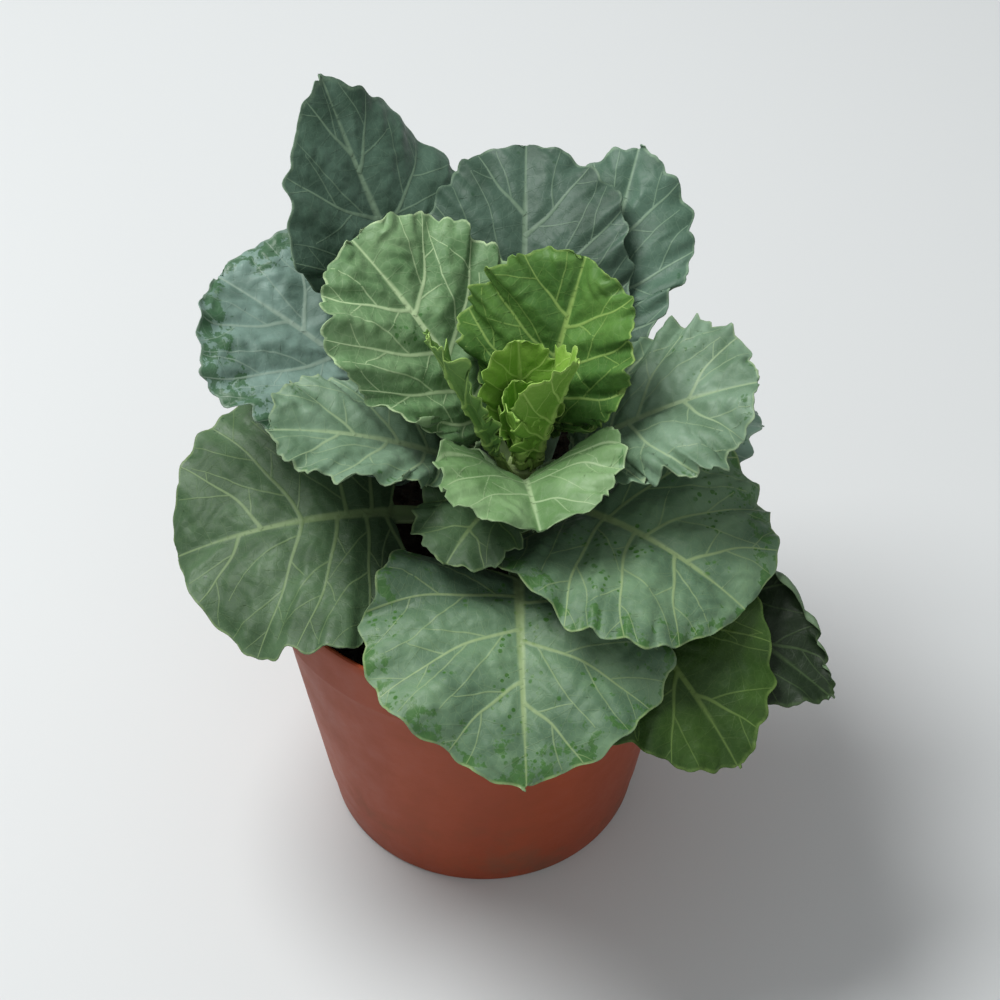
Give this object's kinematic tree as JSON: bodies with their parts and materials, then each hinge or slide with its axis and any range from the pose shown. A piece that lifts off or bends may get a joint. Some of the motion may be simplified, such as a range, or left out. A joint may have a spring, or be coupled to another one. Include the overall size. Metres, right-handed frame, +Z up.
{
  "type": "ornamental kale plant",
  "caption": "Young ornamental kale plant with spread wavy leaves round an upright folded heart, growing in a round tapered nursery pot filled with soil.",
  "frame": {"origin": "centre of the pot's underside", "axes": "+Z up along the pot's axis, -Y towards the plant's front, +X to its right seen from the front"},
  "size_m": [0.1884, 0.1867, 0.2137],
  "materials": {
    "pot_plastic": "satin moulded, terracotta",
    "potting_soil": "rough, moist peat",
    "stem": "smooth, waxy",
    "outer_leaf": "waxy bloom, blue green",
    "inner_leaf": "waxy bloom, grey green",
    "heart_leaf": "satin, fresh yellow green"
  },
  "bodies": {
    "root": {"pot": "pot_plastic", "soil": "potting_soil", "stem": "stem", "leaf_01_low_right": "outer_leaf", "leaf_02_low_front_right": "outer_leaf", "leaf_03_low_back": "outer_leaf", "leaf_04_low_back_left": "outer_leaf", "leaf_05_low_back_right": "outer_leaf", "leaf_06_front": "outer_leaf", "leaf_07_left": "outer_leaf", "leaf_08_back_right": "outer_leaf", "leaf_09_back_left": "outer_leaf", "leaf_10_left_back": "outer_leaf", "leaf_11_front_right": "outer_leaf", "leaf_12_back": "outer_leaf", "leaf_13_inner_front_left": "inner_leaf", "leaf_14_inner_left": "inner_leaf", "leaf_15_inner_right": "inner_leaf", "leaf_16_inner_back_left": "inner_leaf", "leaf_17_inner_front": "inner_leaf", "leaf_18_inner_back": "inner_leaf", "leaf_19_heart_left": "heart_leaf", "heart": "heart_leaf"}
  },
  "joints": []
}
